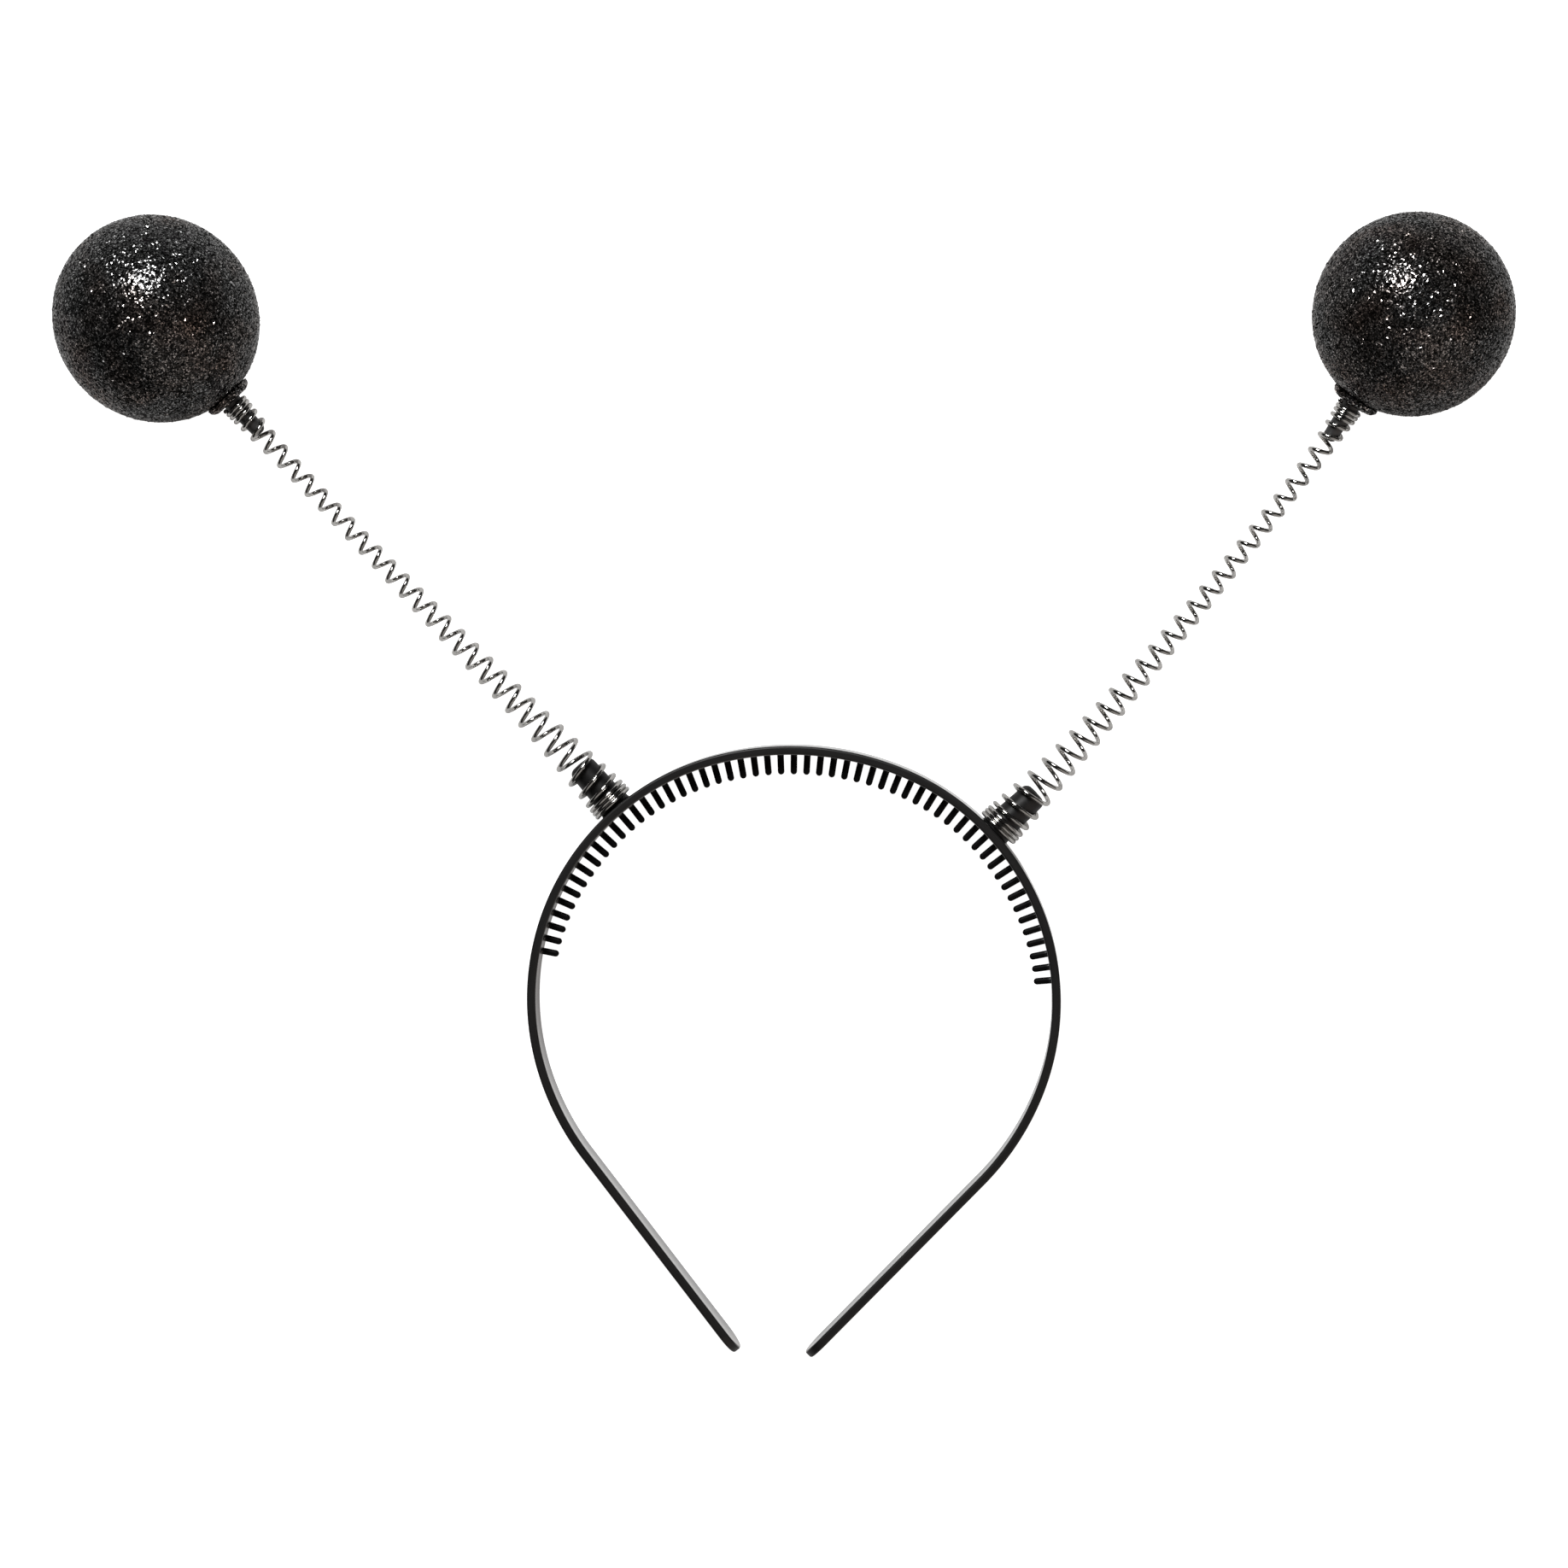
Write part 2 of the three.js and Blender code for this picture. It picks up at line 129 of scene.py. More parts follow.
def make_object(name, points, faces, flat=None, weighted=False, outward=True):
    """A mesh object from points in mm, its faces turned outward. With weighted set, each
    vertex takes the mean normal of its faces by their area, so flats stay flat."""
    mesh = bpy.data.meshes.new(name)
    mesh.from_pydata((np.asarray(points) * MM).tolist(), [], [tuple(f) for f in faces])
    if flat is None:
        mesh.polygons.foreach_set("use_smooth", np.ones(len(mesh.polygons), bool))
    else:
        mesh.polygons.foreach_set("use_smooth", ~np.asarray(flat, bool))
    if outward:
        bm = bmesh.new()
        bm.from_mesh(mesh)
        bmesh.ops.recalc_face_normals(bm, faces=bm.faces)
        if bm.calc_volume(signed=True) < 0:
            bmesh.ops.reverse_faces(bm, faces=bm.faces)
        bm.to_mesh(mesh)
        bm.free()
    mesh.update()
    if weighted:
        total = np.zeros((len(mesh.vertices), 3))
        for p in mesh.polygons:
            share = np.array(p.normal) * p.area
            for v in p.vertices:
                total[v] += share
        total /= np.maximum(np.linalg.norm(total, axis=1, keepdims=True), 1e-20)
        mesh.normals_split_custom_set_from_vertices(total.tolist())
    obj = bpy.data.objects.new(name, mesh)
    bpy.context.scene.collection.objects.link(obj)
    return obj


def add_attribute(obj, name, kind, domain, values):
    attribute = obj.data.attributes.new(name, kind, domain)
    key = "vector" if kind == "FLOAT_VECTOR" else "value"
    attribute.data.foreach_set(key, np.asarray(values, np.float32).ravel())


def unit(v):
    v = np.asarray(v, float)
    return v / np.linalg.norm(v)


def hermite(values, x):
    """A smooth curve through values at 0, 1, 2 ..., at each x."""
    v = np.asarray(values, float)
    slope = np.gradient(v)
    i = np.clip(np.floor(x).astype(int), 0, len(v) - 2)
    t = np.clip(x - i, 0, 1)
    return (
        (2 * t**3 - 3 * t**2 + 1) * v[i]
        + (t**3 - 2 * t**2 + t) * slope[i]
        + (3 * t**2 - 2 * t**3) * v[i + 1]
        + (t**3 - t**2) * slope[i + 1]
    )


# ------------------------------------------------------------------ the band's line
def arc_rows():
    """(radius, start turn, end turn, centre x, centre y, length before) of each arc."""
    rows, x, y, start, length = [], 0.0, -BAND_ARCS[0][0], 0.0, 0.0
    for i, (radius, end) in enumerate(BAND_ARCS):
        if i:
            step = BAND_ARCS[i - 1][0] - radius
            x += step * math.sin(math.radians(start))
            y += step * math.cos(math.radians(start))
        rows.append((radius, start, end, x, y, length))
        length += radius * math.radians(end - start)
        start = end
    return rows, length


ARC_ROWS, ARC_LENGTH = arc_rows()
HALF_LENGTH = ARC_LENGTH + LEG_LENGTH


def length_at(turn):
    for radius, start, end, _, _, before in ARC_ROWS:
        if turn <= end:
            return before + radius * math.radians(turn - start)
    return ARC_LENGTH


def band_at(s):
    """Outer face point, outward direction, direction along the band and radius at the
    signed length s from the crown, in the part's frame at floor level."""
    side, far = (-1.0 if s < 0 else 1.0), abs(s)
    for radius, start, end, cx, cy, before in ARC_ROWS:
        if far <= before + radius * math.radians(end - start) or end == BAND_ARCS[-1][1]:
            along = min(far, ARC_LENGTH) - before
            turn = math.radians(start) + along / radius
            break
    out = np.array([math.sin(turn), math.cos(turn), 0.0])
    run = np.array([math.cos(turn), -math.sin(turn), 0.0])
    point = np.array([cx, cy, 0.0]) + radius * out + run * max(far - ARC_LENGTH, 0.0)
    flip = np.array([side, 1.0, 1.0])
    return point * flip + CROWN, out * flip, run * flip * side, radius if far < ARC_LENGTH else 1e6


def band_point(s, w, t):
    """Point of the band: s along it, w across it from mid-width, t through it, outer face at +1."""
    point, out, _, _ = band_at(s)
    return point - out * (BAND_THICK / 2 - t) + UP * (BAND_WIDTH / 2 + w)


# ------------------------------------------------------------------ headband
def tooth_places():
    reach = length_at(TOOTH_LAST_TURN)
    return [reach * (2 * k / (TOOTH_COUNT - 1) - 1) + TOOTH_SHIFT for k in range(TOOTH_COUNT)]


TOOTH_CELLS = 6  # grid cells along each side of the patch that a tooth stands on
PATCH_S, PATCH_W = 1.25, 1.5  # half size of that patch
PEG_PATCH = 4.62


def band_columns():
    """Lengths where the band's mesh has a column, densest at the teeth and tips."""
    marks = set()
    for s in tooth_places():
        for k in range(TOOTH_CELLS + 1):
            marks.add(round(s + PATCH_S * (2 * k / TOOTH_CELLS - 1), 5))
    start, end = max(marks), HALF_LENGTH - TIP_ROUND
    runs = np.concatenate(
        [
            np.linspace(start, ARC_LENGTH, int((ARC_LENGTH - start) / 1.1))[1:],
            np.linspace(ARC_LENGTH, end, 24)[1:],
        ]
    )
    tip = end + TIP_ROUND * np.sin(np.radians(np.linspace(0, 90, 15)))[1:]
    for s in np.concatenate([runs, tip]):
        marks.update((round(float(s), 5), round(-float(s), 5)))
    return sorted(marks)


def edge_profile():
    """(inset, t) from the outer face round the long edge to the inner face."""
    half, rows = BAND_THICK / 2, []
    for a in np.linspace(0, 90, 7):
        rows.append((BAND_EDGE * (1 - math.sin(math.radians(a))), half - BAND_EDGE + BAND_EDGE * math.cos(math.radians(a))))
    for a in np.linspace(90, 180, 7):
        rows.append((BAND_EDGE * (1 - math.sin(math.radians(a))), -half + BAND_EDGE + BAND_EDGE * math.cos(math.radians(a))))
    return rows


INNER_ROWS = [1.0, 0.78, 0.5] + [PATCH_W / (BAND_WIDTH / 2 - BAND_EDGE) * x for x in (1, 2 / 3, 1 / 3, 0, -1 / 3, -2 / 3, -1)] + [-0.5, -0.78, -1.0]
OUTER_ROWS = [1.0] + [PEG_PATCH / (BAND_WIDTH / 2 - BAND_EDGE) * x for x in np.linspace(1, -1, 11)] + [-1.0]


def make_headband():
    shape, where = Shape(), []
    columns, profile = band_columns(), edge_profile()
    last = len(columns) - 1
    half = BAND_WIDTH / 2
    flat_end = HALF_LENGTH - TIP_ROUND

    def put(s, w, t):
        where.append((s, w, t))
        return shape.add(band_point(s, w, t))

    def outline(s):
        """Half width and the outline's normal (along, across) at a column."""
        over = abs(s) - flat_end
        if over <= 1e-6:
            return half, (0.0, 1.0)
        a = math.asin(min(over / TIP_ROUND, 1.0))
        return half - TIP_ROUND + TIP_ROUND * math.cos(a), (math.copysign(math.sin(a), s), math.cos(a))

    count = len(INNER_ROWS)
    loop = []  # (s, w, normal along, normal across, column, row) round the whole outline
    for j, s in enumerate(columns):
        h, (ns, nw) = outline(s)
        loop.append((s, h, ns, nw, j, 0))
    tip_half = outline(columns[-1])[0]
    for i in range(1, count - 1):
        loop.append((columns[-1], tip_half * (1 - 2 * i / (count - 1)), 1.0, 0.0, last, i))
    for j in range(last, -1, -1):
        s = columns[j]
        h, (ns, nw) = outline(s)
        loop.append((s, -h, ns, -nw, j, count - 1))
    for i in range(count - 2, 0, -1):
        loop.append((columns[0], tip_half * (1 - 2 * i / (count - 1)), -1.0, 0.0, 0, i))

    rings = [[put(s - inset * ns, w - inset * nw, t) for s, w, ns, nw, _, _ in loop] for inset, t in profile]
    for a, b in zip(rings, rings[1:]):
        shape.bridge(a, b)

    def face_grid(ring, rows, t, hollow=0.0):
        grid = [[None] * (last + 1) for _ in range(count)]
        for index, (_, _, _, _, j, i) in zip(ring, loop):
            grid[i][j] = index
        for j, s in enumerate(columns):
            h, (ns, nw) = outline(s)
            for i in range(1, count - 1):
                if grid[i][j] is None:
                    sink = hollow * (1 - rows[i] ** 2) * min(1.0, (HALF_LENGTH - abs(s)) / TIP_ROUND)
                    grid[i][j] = put(s - BAND_EDGE * ns, rows[i] * (h - BAND_EDGE * nw), t + sink)
        return grid

    outer = face_grid(rings[0], OUTER_ROWS, BAND_THICK / 2)
    inner = face_grid(rings[-1], INNER_ROWS, -BAND_THICK / 2, BAND_HOLLOW)

    def around(i0, i1, j0, j1):
        """Grid places round a patch, in order."""
        return (
            [(i0, j) for j in range(j0, j1)]
            + [(i, j1) for i in range(i0, i1)]
            + [(i1, j) for j in range(j1, j0, -1)]
            + [(i, j0) for i in range(i1, i0, -1)]
        )

    def nearest(s):
        return min(range(last + 1), key=lambda j: abs(columns[j] - s))

    inner_holes, outer_holes = set(), set()

    # Comb teeth: blades with rounded corners and a round nose, filleted into the inner face.
    i0, i1 = 3, 9
    for s in tooth_places():
        j0, j1 = nearest(s - PATCH_S), nearest(s + PATCH_S)
        inner_holes.update((i, j) for i in range(i0, i1) for j in range(j0, j1))
        places = around(i0, i1, j0, j1)
        ring = [inner[i][j] for i, j in places]
        point, out, run, radius = band_at(s)
        base = point - out * BAND_THICK + UP * half
        inward = -out
        turn = float(np.interp(abs(s), [0, length_at(55), length_at(82)], [0, 55, 82]))
        length = float(np.interp(turn, TOOTH_TURNS, TOOTH_LENGTHS))
        angles = [math.atan2(where[v][1] / PATCH_W, (where[v][0] - s) / PATCH_S) for v in ring]

        def section(grow, squash_x=1.0, squash_w=1.0):
            pts = []
            for a in angles:
                c, n = math.cos(a), math.sin(a)
                x = math.copysign(abs(c) ** 0.75, c) * (TOOTH_WIDE / 2) * squash_x
                w = math.copysign(abs(n) ** 0.75, n) * (TOOTH_DEEP / 2) * squash_w
                far = math.hypot(x, w) or 1.0
                pts.append((x * (1 + grow / far), w * (1 + grow / far)))
            return pts

        levels = []
        for a in np.radians([0, 25, 50, 72, 90]):
            levels.append((TOOTH_FILLET * (1 - math.cos(a)), section(TOOTH_FILLET * (1 - math.sin(a)))))
        nose = TOOTH_WIDE / 2
        levels.append(((length - nose + TOOTH_FILLET) / 2, section(0)))
        for a in np.radians([0, 16, 32, 48, 62, 74, 84]):
            levels.append((length - nose + nose * math.sin(a), section(0, math.cos(a), math.cos(a) ** 0.55)))
        for k, (rise, pts) in enumerate(levels):
            hug = 1.0 if k == 0 else 0.0
            new = []
            for x, w in pts:
                lift = hug * (x * x / (2 * (radius - BAND_THICK))) - 0.16 * max(0.0, 1 - rise / 0.8)
                where.append((s + x, w, -BAND_THICK / 2 - rise))
                new.append(shape.add(base + run * x + UP * w + inward * (rise + lift)))
            shape.bridge(ring, new)
            ring = new
        where.append((s, 0.0, -BAND_THICK / 2 - length))
        shape.fan(ring, shape.add(base + inward * length))

    # Pegs: round posts on the outer face with a wide foot and a blunt round nose.
    i0, i1 = 1, 11
    for side in (-1, 1):
        s = side * length_at(PEG_TURN)
        j0, j1 = nearest(s - PEG_PATCH), nearest(s + PEG_PATCH)
        outer_holes.update((i, j) for i in range(i0, i1) for j in range(j0, j1))
        places = around(i0, i1, j0, j1)
        ring = [outer[i][j] for i, j in places]
        point, out, run, radius = band_at(s)
        base = point + UP * half
        first = where[ring[0]]
        begin = math.atan2(first[1], first[0] - s)
        second = where[ring[len(ring) // 4]]
        turn_way = math.copysign(1.0, math.sin(math.atan2(second[1], second[0] - s) - begin))
        angles = [begin + turn_way * 2 * math.pi * k / len(ring) for k in range(len(ring))]
        foot = PEG_ROWS[0][1] / 2
        levels = []
        for a in np.radians([0, 22, 45, 68, 90]):
            levels.append((PEG_FILLET * (1 - math.cos(a)), foot + PEG_FILLET * (1 - math.sin(a))))
        levels += [(along, d / 2) for along, d in PEG_ROWS]
        shank = PEG_ROWS[-1][1] / 2
        for a in np.radians(np.linspace(12, 90, 8)):
            levels.append((PEG_NOSE - PEG_NOSE_ROUND * (1 - math.sin(a)), shank - PEG_NOSE_ROUND * (1 - math.cos(a))))
        levels.append((PEG_NOSE + 0.05, 0.7))
        for rise, r in levels:
            hug = max(0.0, 1 - rise / PEG_FILLET)
            new = []
            for a in angles:
                x, w = r * math.cos(a), r * math.sin(a)
                drop = hug * (radius - math.sqrt(radius * radius - x * x))
                where.append((s + x, w, BAND_THICK / 2 + rise))
                new.append(shape.add(base + run * x + UP * w + out * (rise - drop)))
            shape.bridge(ring, new)
            ring = new
        where.append((s, 0.0, BAND_THICK / 2 + PEG_NOSE))
        shape.fan(ring, shape.add(base + out * (PEG_NOSE + 0.06)))

    for grid, holes in ((outer, outer_holes), (inner, inner_holes)):
        for i in range(count - 1):
            for j in range(last):
                if (i, j) not in holes:
                    shape.face(grid[i][j], grid[i][j + 1], grid[i + 1][j + 1], grid[i + 1][j])

    obj = make_object("headband_moulding", shape.points, shape.faces, weighted=True)
    add_attribute(obj, "strip", "FLOAT_VECTOR", "POINT", where)
    return obj


# ------------------------------------------------------------------ antennae
def antenna_line(a):
    """Sampled centre line from the peg's foot to the ball's centre, with the ball's centre
    and the plug's direction towards it."""
    s = a["side"] * length_at(PEG_TURN)
    point, out, _, _ = band_at(s)
    foot = point + UP * BAND_WIDTH / 2
    ball = np.array([a["ball"][0], a["ball"][1], BALL_R]) + CROWN
    angle, climb = math.radians(a["angle"]), math.radians(a["climb"])
    arrive = np.array([a["side"] * math.sin(angle) * math.cos(climb), math.cos(angle) * math.cos(climb), math.sin(climb)])
    tip = ball - arrive * (BALL_R + FLANGE_RISE + PLUG_LENGTH)
    p = [foot, foot + out * a["hold_band"], tip - arrive * a["hold_ball"], tip]
    t = np.linspace(0, 1, 1500)[:, None]
    bow = (1 - t) ** 3 * p[0] + 3 * (1 - t) ** 2 * t * p[1] + 3 * (1 - t) * t**2 * p[2] + t**3 * p[3]
    line = np.vstack([bow, tip + (ball - tip) * np.linspace(0, 1, 300)[1:, None]])
    along = np.concatenate([[0], np.cumsum(np.linalg.norm(np.diff(line, axis=0), axis=1))])
    return line, along, ball, arrive


def make_spring(name, a):
    line, along, _, _ = antenna_line(a)
    seat = along[-1] - BALL_R - a["rise"]
    ends = len(BAND_END_TURNS) - 1
    turns = 2 * ends + MIDDLE_TURNS
    steps, sides = 56, 12
    turn = np.linspace(0, turns, turns * steps + 1)
    first, last = BAND_END_TURNS[-1], seat - BALL_END_TURNS[-1]
    place = first + (last - first) * (turn - ends) / MIDDLE_TURNS
    place = np.where(turn <= ends, hermite(BAND_END_TURNS, np.minimum(turn, ends)), place)
    place = np.where(turns - turn <= ends, seat - hermite(BALL_END_TURNS, np.minimum(turns - turn, ends)), place)
    radius = (np.interp(place / seat, COIL_SHARE, COIL_OUTER) - WIRE_SEAT) / 2
    kernel = np.ones(steps // 2) / (steps // 2)
    pad = np.pad(radius, (steps // 4, steps // 2 - steps // 4 - 1), mode="edge")
    radius = np.convolve(pad, kernel, mode="valid")
    axis = np.stack([np.interp(place, along, line[:, k]) for k in range(3)], axis=1)
    tangent = np.gradient(line, along, axis=0)
    tangent = np.stack([np.interp(place, along, tangent[:, k]) for k in range(3)], axis=1)
    tangent /= np.linalg.norm(tangent, axis=1, keepdims=True)
    sideways = np.cross(UP, tangent)
    sideways /= np.linalg.norm(sideways, axis=1, keepdims=True)
    over = np.cross(tangent, sideways)
    phi = 2 * np.pi * turn[:, None]
    outward = np.cos(phi) * sideways + np.sin(phi) * over
    wire = axis + radius[:, None] * outward
    run = np.gradient(wire, axis=0)
    run /= np.linalg.norm(run, axis=1, keepdims=True)
    outward -= run * np.sum(outward * run, axis=1, keepdims=True)
    outward /= np.linalg.norm(outward, axis=1, keepdims=True)
    across = np.cross(run, outward)
    gone = np.concatenate([[0], np.cumsum(np.linalg.norm(np.diff(wire, axis=0), axis=1))])

    # Cut ends: each with a small rounded edge.
    half = WIRE_D / 2
    order = [(0, half * 0.35, -0.1), (0, half * 0.75, -0.08), (0, half * 0.95, -0.03)]
    order += [(i, half, 0.0) for i in range(len(wire))]
    order += [(len(wire) - 1, half * 0.95, 0.03), (len(wire) - 1, half * 0.75, 0.08), (len(wire) - 1, half * 0.35, 0.1)]
    spin = 2 * np.pi * np.arange(sides) / sides
    shape, where = Shape(), []
    rings = []
    for i, r, push in order:
        centre = wire[i] + run[i] * push
        pts = centre + r * (np.cos(spin)[:, None] * outward[i] + np.sin(spin)[:, None] * across[i])
        rings.append(shape.ring(pts))
        where += [(gone[i], math.cos(x), math.sin(x)) for x in spin]
    for p, q in zip(rings, rings[1:]):
        shape.bridge(p, q)
    shape.face(*reversed(rings[0]))
    shape.face(*rings[-1])
    obj = make_object(name, shape.points, shape.faces, outward=True)
    add_attribute(obj, "wire", "FLOAT_VECTOR", "POINT", where)
    return obj


def frame_about(direction):
    """Two directions square to a given one."""
    d = unit(direction)
    x = unit(np.cross(UP, d))
    return x, np.cross(d, x), d


def make_plug(name, a, rng):
    """Flange, peg and stem turned about the plug's axis. The flange is coated in flakes."""
    _, _, ball, arrive = antenna_line(a)
    x, y, d = frame_about(-arrive)
    around = 96
    rim, top, stretch = FLANGE_D / 2, BALL_R + a["rise"], 1 + a["swell"][0] / BALL_R
    rows = [(BALL_R - STEM_DEEP, STEM_D / 2 - 0.4, 0), (BALL_R - STEM_DEEP + 0.4, STEM_D / 2, 0)]
    for r in (STEM_D / 2, rim * 0.5, rim * 0.75, rim - 0.15):
        rows.append((stretch * math.sqrt(BALL_R**2 - r * r) + FLANGE_GAP, r, 0))
    edge = rows[-1][0]
    rows.append((edge + 0.05, rim - 0.05, 0))
    for t in np.radians(np.linspace(0, 90, 10)):
        rows.append((edge + 0.15 + (top - edge - 0.15) * math.sin(t), rim - FLANGE_ROUND * (1 - math.cos(t)), 1 if t < 1.5 else 0))
    root = PLUG_ROWS[0][1] / 2
    for r in np.linspace(rim - FLANGE_ROUND, root + 0.35, 5)[1:]:
        rows.append((top, r, 0))
    for t in np.radians([30, 60]):
        rows.append((top + 0.35 * (1 - math.cos(t)), root + 0.35 * (1 - math.sin(t)), 0))
    rows += [(top + z, dia / 2, 0) for z, dia in PLUG_ROWS]
    tip_r, tip_round = 1.66, 1.25
    for t in np.radians([0, 20, 40, 58, 74, 88]):
        rows.append((top + PLUG_LENGTH - tip_round * (1 - math.sin(t)), tip_r - tip_round * (1 - math.cos(t)), 0))
    lumps = rng.uniform(0, 2 * np.pi, 2)
    shape, rings, coated = Shape(), [], []
    for k, (z, r, coat) in enumerate(rows):
        shift = 0.5 * (k % 2) if coat else 0.0
        spin = 2 * np.pi * (np.arange(around) + shift) / around
        z_at, r_at = np.full(around, z), np.full(around, r)
        if coat:
            lump = 0.09 * np.sin(5 * spin + lumps[0]) + 0.07 * np.sin(9 * spin + lumps[1])
            z_at = z_at + rng.normal(0, 0.05, around)
            r_at = r_at + rng.normal(0, 0.06, around) + lump
            spin = spin + rng.uniform(-0.28, 0.28, around) * 2 * np.pi / around
        pts = ball + z_at[:, None] * d + r_at[:, None] * (np.cos(spin)[:, None] * x + np.sin(spin)[:, None] * y)
        rings.append(shape.ring(pts))
        coated.append(coat)
    for k in range(len(rings) - 1):
        p, q, n = rings[k], rings[k + 1], around
        coat = bool(coated[k] or coated[k + 1])
        if not coat:
            shape.bridge(p, q)
            continue
        for i in range(n):
            j = (i + 1) % n
            if (k + (rng.random() < 0.35)) % 2:
                shape.face(p[i], p[j], q[i], flat=True)
                shape.face(p[j], q[j], q[i], flat=True)
            else:
                shape.face(p[i], p[j], q[j], flat=True)
                shape.face(p[i], q[j], q[i], flat=True)
    shape.fan(rings[0], shape.add(ball + d * rows[0][0]))
    shape.fan(rings[-1], shape.add(ball + d * (top + PLUG_LENGTH)))
    obj = make_object(name, shape.points, shape.faces, flat=shape.flat)
    flakes = rng.random((len(obj.data.polygons), 2))
    add_attribute(obj, "flake", "FLOAT", "FACE", flakes[:, 0])
    add_attribute(obj, "flake_gloss", "FLOAT", "FACE", flakes[:, 1])
    return obj


FLAKE_POINTS = 84000  # corners of flakes on a ball


def make_ball(name, a, rng):
    """A ball coated in flakes: each triangle is one flake with its own tilt. Its socket
    takes the plug's stem."""
    _, _, ball, arrive = antenna_line(a)
    x, y, d = frame_about(-arrive)
    socket_r = STEM_D / 2 + SOCKET_GAP
    mouth = math.asin(socket_r / BALL_R)
    k = np.arange(FLAKE_POINTS) + 0.5
    rise, turn = 1 - 2 * k / FLAKE_POINTS, math.pi * (1 + math.sqrt(5)) * k
    flat = np.sqrt(1 - rise * rise)
    points = np.stack([flat * np.cos(turn), flat * np.sin(turn), rise], axis=1)
    step = math.sqrt(4 * math.pi / FLAKE_POINTS)
    points += rng.uniform(-0.34, 0.34, points.shape) * step
    points /= np.linalg.norm(points, axis=1, keepdims=True)
    points = points[np.arccos(np.clip(points[:, 2], -1, 1)) > mouth + 0.8 * step]
    around = 36
    spin = 2 * np.pi * np.arange(around) / around
    rim = np.stack([math.sin(mouth) * np.cos(spin), math.sin(mouth) * np.sin(spin), np.full(around, math.cos(mouth))], axis=1)
    points = np.vstack([rim, points]) * BALL_R

    # Triangles between neighbouring points, then the socket's mouth cut out of them.
    bm = bmesh.new()
    corners = [bm.verts.new(p) for p in points]
    ring = set(corners[:around])
    bmesh.ops.convex_hull(bm, input=corners)
    bmesh.ops.delete(bm, geom=[f for f in bm.faces if all(v in ring for v in f.verts)], context="FACES_ONLY")
    bmesh.ops.delete(bm, geom=[e for e in bm.edges if not e.link_faces], context="EDGES")
    bmesh.ops.delete(bm, geom=[v for v in bm.verts if not v.link_faces], context="VERTS")
    bm.verts.index_update()
    local = np.array([v.co for v in bm.verts])
    faces = [tuple(v.index for v in f.verts) for f in bm.faces]
    after = {e.verts[0].index: [] for e in bm.edges if e.is_boundary}
    for e in bm.edges:
        if e.is_boundary:
            p, q = e.verts[0].index, e.verts[1].index
            after.setdefault(p, []).append(q)
            after.setdefault(q, []).append(p)
    bm.free()
    first = min(after)
    loop, last = [first], None
    while True:
        step_on = [v for v in after[loop[-1]] if v != last]
        last = loop[-1]
        if step_on[0] == first or len(loop) > len(after):
            break
        loop.append(step_on[0])

    polar = np.arccos(np.clip(local[:, 2] / BALL_R, -1, 1))
    loose = polar > math.asin((FLANGE_D / 2 + 0.2) / BALL_R)
    count = len(local)
    sd = np.where(rng.random(count) < 0.24, 0.08, 0.018)
    lift = np.clip(rng.normal(0, 1, count), -2.2, 2.2) * sd
    lift = np.where(rng.random(count) < 0.02, -rng.uniform(0.07, 0.2, count), lift)
    local *= (1 + np.where(loose, np.minimum(lift, 0.15), 0.0) / BALL_R)[:, None]
    front, back, flank = (1 + out / BALL_R for out in a["swell"])
    local *= np.stack([np.full(count, flank), np.full(count, flank), np.where(local[:, 2] > 0, front, back)], axis=1)

    floor = BALL_R - STEM_DEEP - SOCKET_GAP
    spin = np.arctan2(local[loop, 1], local[loop, 0])
    n, start, rings, parts = len(loop), count, [loop], [local]
    for z in (BALL_R * math.cos(mouth) - 2.5, floor):
        parts.append(np.stack([socket_r * np.cos(spin), socket_r * np.sin(spin), np.full(n, z)], axis=1))
        rings.append(list(range(start, start + n)))
        start += n
    parts.append(np.array([[0, 0, floor]]))
    for p, q in zip(rings, rings[1:]):
        faces += [(p[i], p[(i + 1) % n], q[(i + 1) % n], q[i]) for i in range(n)]
    faces += [(rings[-1][i], rings[-1][(i + 1) % n], start) for i in range(n)]
    local = np.vstack(parts)
    world = ball + local[:, :1] * x + local[:, 1:2] * y + local[:, 2:] * d
    obj = make_object(name, world, faces, flat=np.ones(len(faces), bool))
    shade = rng.random((len(faces), 2))
    add_attribute(obj, "flake", "FLOAT", "FACE", shade[:, 0])
    add_attribute(obj, "flake_gloss", "FLOAT", "FACE", shade[:, 1])
    return obj


# ------------------------------------------------------------------ materials
def new_material(name):
    material = bpy.data.materials.new(name)
    material.use_nodes = True
    tree = material.node_tree
    return material, tree, tree.nodes["Principled BSDF"]


def node(tree, kind, **values):
    n = tree.nodes.new(kind)
    for key, value in values.items():
        if key in n.inputs:
            n.inputs[key].default_value = value
        else:
            setattr(n, key, value)
    return n


def ramp(tree, source, stops):
    """Colour ramp fed by a socket; stops are (position, colour or grey)."""
    n = tree.nodes.new("ShaderNodeValToRGB")
    while len(n.color_ramp.elements) < len(stops):
        n.color_ramp.elements.new(0.5)
    for element, (position, colour) in zip(n.color_ramp.elements, stops):
        element.position = position
        c = colour if isinstance(colour, tuple) else (colour,) * 3
        element.color = (*c, 1.0)
    tree.links.new(source, n.inputs["Fac"])
    return n.outputs["Color"]


def spread(tree, source, low, high, start=0.0, end=1.0):
    n = node(tree, "ShaderNodeMapRange")
    n.inputs["From Min"].default_value, n.inputs["From Max"].default_value = start, end
    n.inputs["To Min"].default_value, n.inputs["To Max"].default_value = low, high
    tree.links.new(source, n.inputs["Value"])
    return n.outputs["Result"]


